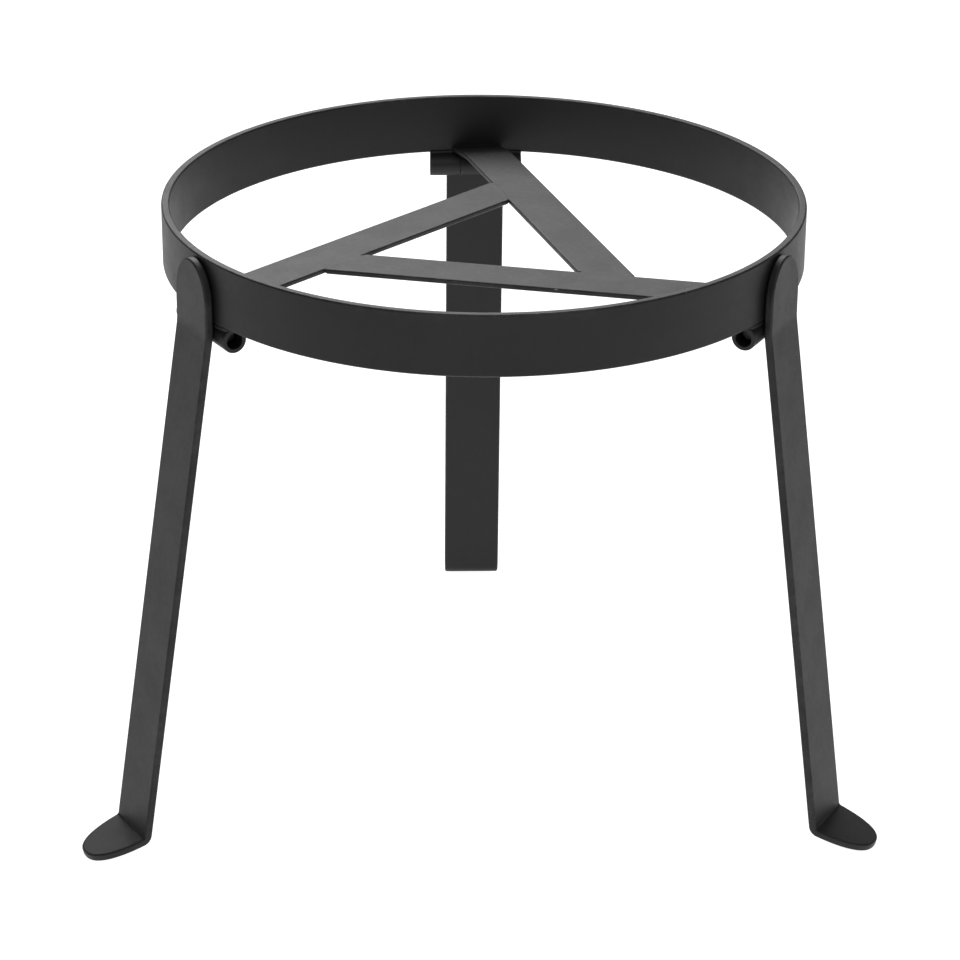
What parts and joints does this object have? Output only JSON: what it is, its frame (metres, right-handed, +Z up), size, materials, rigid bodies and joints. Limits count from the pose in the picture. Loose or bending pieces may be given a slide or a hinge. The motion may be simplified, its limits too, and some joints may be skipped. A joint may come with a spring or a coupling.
{
  "type": "propane burner stand",
  "caption": "Folding tripod stand for a gas burner: a flat-bar hoop with a triangular grate inside its lower edge, on splayed flat-bar legs hinged under the hoop.",
  "frame": {"origin": "on the floor under the middle of the bounding box; the hoop's axis is 29.36 mm in front of it and 2.56 mm to its right, at X = 0.00256 and Y = -0.02936, because the three legs reach out differently", "axes": "+Z up, +Y towards the back leg, +X to the right seen from the front"},
  "size_m": [0.3896, 0.3688, 0.3],
  "materials": {
    "black_coat": "satin black powder coat on mild steel",
    "pin_steel": "dark plain steel"
  },
  "bodies": {
    "stand": {"hoop": "black_coat", "grate_bar_back": "black_coat", "grate_bar_front_left": "black_coat", "grate_bar_front_right": "black_coat", "hinge_barrel_left_back": "black_coat", "hinge_barrel_right_back": "black_coat", "hinge_pin_back": "pin_steel", "hinge_barrel_left_front_left": "black_coat", "hinge_barrel_right_front_left": "black_coat", "hinge_pin_front_left": "pin_steel", "hinge_barrel_left_front_right": "black_coat", "hinge_barrel_right_front_right": "black_coat", "hinge_pin_front_right": "pin_steel"},
    "back_leg": {"leg_back": "black_coat", "hinge_barrel_mid_back": "black_coat"},
    "front_left_leg": {"leg_front_left": "black_coat", "hinge_barrel_mid_front_left": "black_coat"},
    "front_right_leg": {"leg_front_right": "black_coat", "hinge_barrel_mid_front_right": "black_coat"}
  },
  "joints": [
    {"name": "back_leg_fold", "type": "hinge", "parent": "stand", "child": "back_leg", "pos_m": [0.00256, 0.11964, 0.2637], "axis": [-1, 0, 0], "range_deg": [0, 98]},
    {"name": "front_left_leg_fold", "type": "hinge", "parent": "stand", "child": "front_left_leg", "pos_m": [-0.12648, -0.10386, 0.2637], "axis": [0.5, -0.866, 0], "range_deg": [0, 95]},
    {"name": "front_right_leg_fold", "type": "hinge", "parent": "stand", "child": "front_right_leg", "pos_m": [0.1316, -0.10386, 0.2637], "axis": [0.5, 0.866, 0], "range_deg": [0, 89]}
  ]
}
